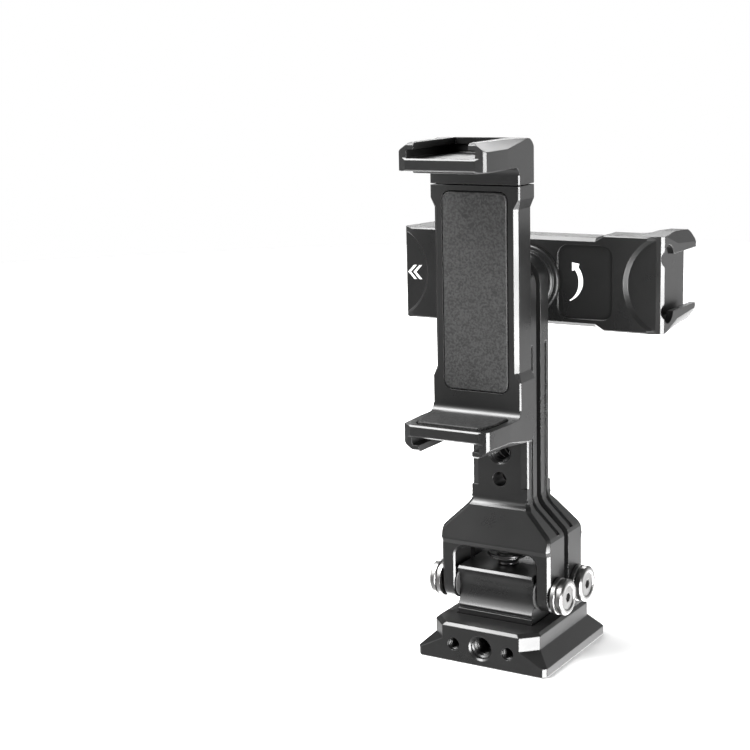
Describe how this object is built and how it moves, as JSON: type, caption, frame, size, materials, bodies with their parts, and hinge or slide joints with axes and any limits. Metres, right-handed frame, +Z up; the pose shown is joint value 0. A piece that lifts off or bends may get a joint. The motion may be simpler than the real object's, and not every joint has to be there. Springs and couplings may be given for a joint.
{
  "type": "teleprompter phone mount head",
  "caption": "Stand head with twin folding arms on a dovetail base, each arm carrying a swivelling spring-loaded phone clamp with shoe slots at both jaws.",
  "frame": {"origin": "centre of the base plate's underside", "axes": "+Z up along the arms, -Y towards the front clamp's phone, +X to the right of a viewer at the front"},
  "size_m": [0.0768, 0.0734, 0.1381],
  "materials": {
    "anodised_black": "semi-gloss black anodised",
    "bright_steel": "turned, bright",
    "spring_steel": "drawn wire",
    "dark_rubber": "pebbled, matte",
    "washer_polymer": "plain"
  },
  "bodies": {
    "base": {"base_plate": "anodised_black", "hinge_block": "anodised_black", "block_screw": "anodised_black", "front_hinge_screw": "bright_steel", "front_hinge_cap_nut": "bright_steel", "front_hinge_washer_right": "washer_polymer", "front_hinge_washer_left": "washer_polymer", "rear_hinge_screw": "bright_steel", "rear_hinge_cap_nut": "bright_steel", "rear_hinge_washer_right": "washer_polymer", "rear_hinge_washer_left": "washer_polymer"},
    "front_arm": {"front_arm": "anodised_black", "front_swivel_washer": "washer_polymer"},
    "front_clamp": {"front_clamp_body": "anodised_black", "front_pocket_cover": "bright_steel", "front_body_pad": "dark_rubber", "front_fixed_jaw_pad": "dark_rubber", "front_swivel_disc": "anodised_black", "front_swivel_screw": "bright_steel", "front_jaw_spring_a": "spring_steel", "front_jaw_spring_b": "spring_steel"},
    "front_jaw": {"front_moving_jaw": "anodised_black", "front_moving_jaw_pad": "dark_rubber", "front_guide_rod_a": "bright_steel", "front_guide_rod_b": "bright_steel"},
    "rear_arm": {"rear_arm": "anodised_black", "rear_swivel_washer": "washer_polymer"},
    "rear_clamp": {"rear_clamp_body": "anodised_black", "rear_pocket_cover": "bright_steel", "rear_body_pad": "dark_rubber", "rear_fixed_jaw_pad": "dark_rubber", "rear_swivel_disc": "anodised_black", "rear_swivel_screw": "bright_steel", "rear_jaw_spring_a": "spring_steel", "rear_jaw_spring_b": "spring_steel"},
    "rear_jaw": {"rear_moving_jaw": "anodised_black", "rear_moving_jaw_pad": "dark_rubber", "rear_guide_rod_a": "bright_steel", "rear_guide_rod_b": "bright_steel"}
  },
  "joints": [
    {"name": "front_arm_tilt", "type": "hinge", "parent": "base", "child": "front_arm", "pos_m": [0, -0.0061, 0.0182], "axis": [1, 0, 0], "range_deg": [0, 90]},
    {"name": "rear_arm_tilt", "type": "hinge", "parent": "base", "child": "rear_arm", "pos_m": [0, 0.0061, 0.0182], "axis": [1, 0, 0], "range_deg": [-90, 0]},
    {"name": "front_clamp_swivel", "type": "hinge", "parent": "front_arm", "child": "front_clamp", "pos_m": [0, -0.01075, 0.099], "axis": [0, 1, 0], "continuous": true},
    {"name": "rear_clamp_swivel", "type": "hinge", "parent": "rear_arm", "child": "rear_clamp", "pos_m": [0, 0.01075, 0.099], "axis": [0, 1, 0], "continuous": true},
    {"name": "front_jaw_slide", "type": "slide", "parent": "front_clamp", "child": "front_jaw", "axis": [0, 0, 1], "range_m": [0, 0.025], "stiffness_N_per_m": 150, "springref_m": -0.02, "deforming": ["front_jaw_spring_a", "front_jaw_spring_b"]},
    {"name": "rear_jaw_slide", "type": "slide", "parent": "rear_clamp", "child": "rear_jaw", "axis": [-1, 0, 0], "range_m": [0, 0.025], "stiffness_N_per_m": 150, "springref_m": -0.02, "deforming": ["rear_jaw_spring_a", "rear_jaw_spring_b"]}
  ]
}
